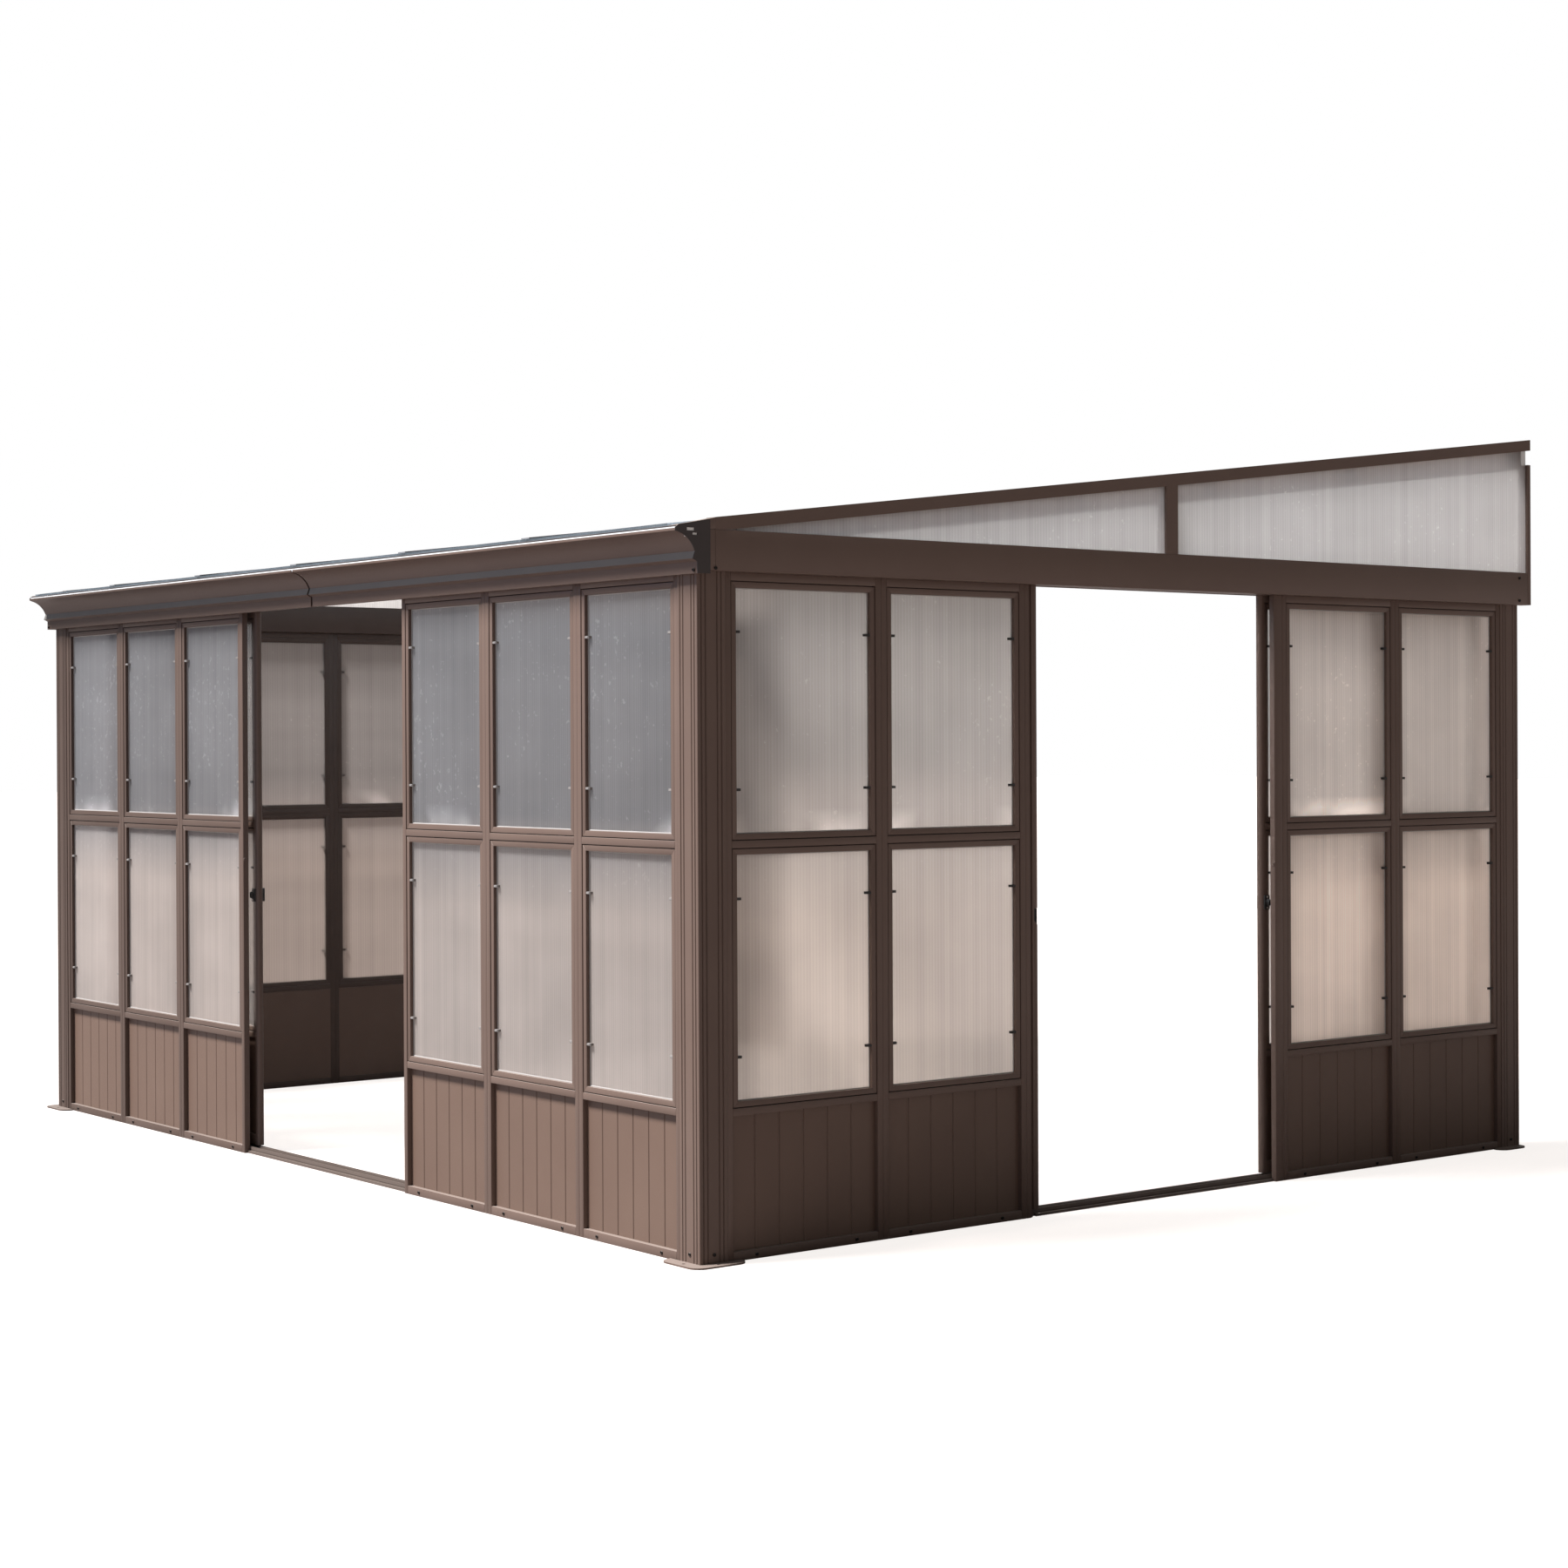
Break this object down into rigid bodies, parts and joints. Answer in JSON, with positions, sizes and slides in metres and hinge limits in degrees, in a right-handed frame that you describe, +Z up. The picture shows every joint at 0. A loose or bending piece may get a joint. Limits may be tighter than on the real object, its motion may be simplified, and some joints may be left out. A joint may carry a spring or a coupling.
{
  "type": "sunroom gazebo",
  "caption": "Wall-mounted lean-to sunroom with a low-pitched twin-wall roof, glazed framed walls on a crown gutter line and a sliding door in the front and one side.",
  "frame": {"origin": "middle of the footprint's box, on the ground under the foot plates", "axes": "+X along the front wall to the right as seen from outside, +Y towards the house wall, +Z up"},
  "size_m": [4.79, 3.902, 2.6496],
  "materials": {
    "frame": "satin powder coat",
    "kick_board": "satin powder coat",
    "sheet": "translucent twin-wall sheet",
    "mill_track": "satin",
    "foot": "satin powder coat",
    "end_cap": "matte",
    "nylon": "matte",
    "steel": "plain",
    "lock": "matte"
  },
  "bodies": {
    "structure": {"corner_post_front_left": "frame", "corner_post_front_right": "frame", "corner_post_rear_left": "frame", "corner_post_rear_right": "frame", "eave_trim": "mill_track", "foot_plates": "foot", "front_door_track": "frame", "front_header": "frame", "front_kick_boards": "kick_board", "front_left_panel_frame": "frame", "front_panes": "sheet", "front_right_panel_frame": "frame", "front_sill_track": "mill_track", "gable_mullions": "frame", "gable_panes": "sheet", "gable_rail_left": "frame", "gable_rail_right": "frame", "glazing_bars": "frame", "gutter_end_cap_left": "end_cap", "gutter_end_cap_right": "end_cap", "gutter_left": "frame", "gutter_right": "frame", "left_header": "frame", "left_kick_boards": "kick_board", "left_panel_frame": "frame", "left_panes": "sheet", "pane_sashes": "frame", "rafters": "frame", "right_door_track": "frame", "right_front_panel_frame": "frame", "right_header": "frame", "right_kick_boards": "kick_board", "right_panes": "sheet", "right_rear_panel_frame": "frame", "right_sill_track": "mill_track", "roof_sheets": "sheet", "side_door_jambs": "frame", "wall_flanges": "frame", "wall_ledger": "frame"},
    "front_door": {"front_door_axles": "steel", "front_door_frame": "frame", "front_door_kick_boards": "kick_board", "front_door_lock_case": "lock", "front_door_panes": "sheet", "front_door_sashes": "frame", "front_door_top_guides": "nylon"},
    "front_door_far_wheel": {"front_door_far_wheel": "nylon"},
    "front_door_near_wheel": {"front_door_near_wheel": "nylon"},
    "front_door_thumb_turn": {"front_door_thumb_turn": "lock"},
    "side_door": {"side_door_axles": "steel", "side_door_frame": "frame", "side_door_kick_boards": "kick_board", "side_door_lock_case": "lock", "side_door_panes": "sheet", "side_door_sashes": "frame", "side_door_top_guides": "nylon"},
    "side_door_far_wheel": {"side_door_far_wheel": "nylon"},
    "side_door_near_wheel": {"side_door_near_wheel": "nylon"},
    "side_door_thumb_turn": {"side_door_thumb_turn": "lock"}
  },
  "joints": [
    {"name": "front_door_slide", "type": "slide", "parent": "structure", "child": "front_door", "axis": [1, 0, 0], "range_m": [0, 1.214]},
    {"name": "side_door_slide", "type": "slide", "parent": "structure", "child": "side_door", "axis": [0, -1, 0], "range_m": [0, 1.112]},
    {"name": "front_door_near_wheel_spin", "type": "hinge", "parent": "front_door", "child": "front_door_near_wheel", "pos_m": [-1.723, -1.7825, 0.02805], "axis": [0, 1, 0], "continuous": true},
    {"name": "front_door_far_wheel_spin", "type": "hinge", "parent": "front_door", "child": "front_door_far_wheel", "pos_m": [-0.705, -1.7825, 0.02805], "axis": [0, 1, 0], "continuous": true},
    {"name": "side_door_near_wheel_spin", "type": "hinge", "parent": "side_door", "child": "side_door_near_wheel", "pos_m": [2.2865, 0.693, 0.02805], "axis": [1, 0, 0], "continuous": true},
    {"name": "side_door_far_wheel_spin", "type": "hinge", "parent": "side_door", "child": "side_door_far_wheel", "pos_m": [2.2865, 1.609, 0.02805], "axis": [1, 0, 0], "continuous": true},
    {"name": "front_door_thumb_swing", "type": "hinge", "parent": "front_door", "child": "front_door_thumb_turn", "pos_m": [-0.61, -1.801, 0.965], "axis": [0, -1, 0], "range_deg": [0, 90]},
    {"name": "side_door_thumb_swing", "type": "hinge", "parent": "side_door", "child": "side_door_thumb_turn", "pos_m": [2.305, 0.598, 0.965], "axis": [1, 0, 0], "range_deg": [0, 90]}
  ],
  "couplings": [
    {"joint": "front_door_near_wheel_spin", "follows": "front_door_slide", "rad_per_m": 62.5},
    {"joint": "front_door_far_wheel_spin", "follows": "front_door_slide", "rad_per_m": 62.5},
    {"joint": "side_door_near_wheel_spin", "follows": "side_door_slide", "rad_per_m": 62.5},
    {"joint": "side_door_far_wheel_spin", "follows": "side_door_slide", "rad_per_m": 62.5}
  ]
}
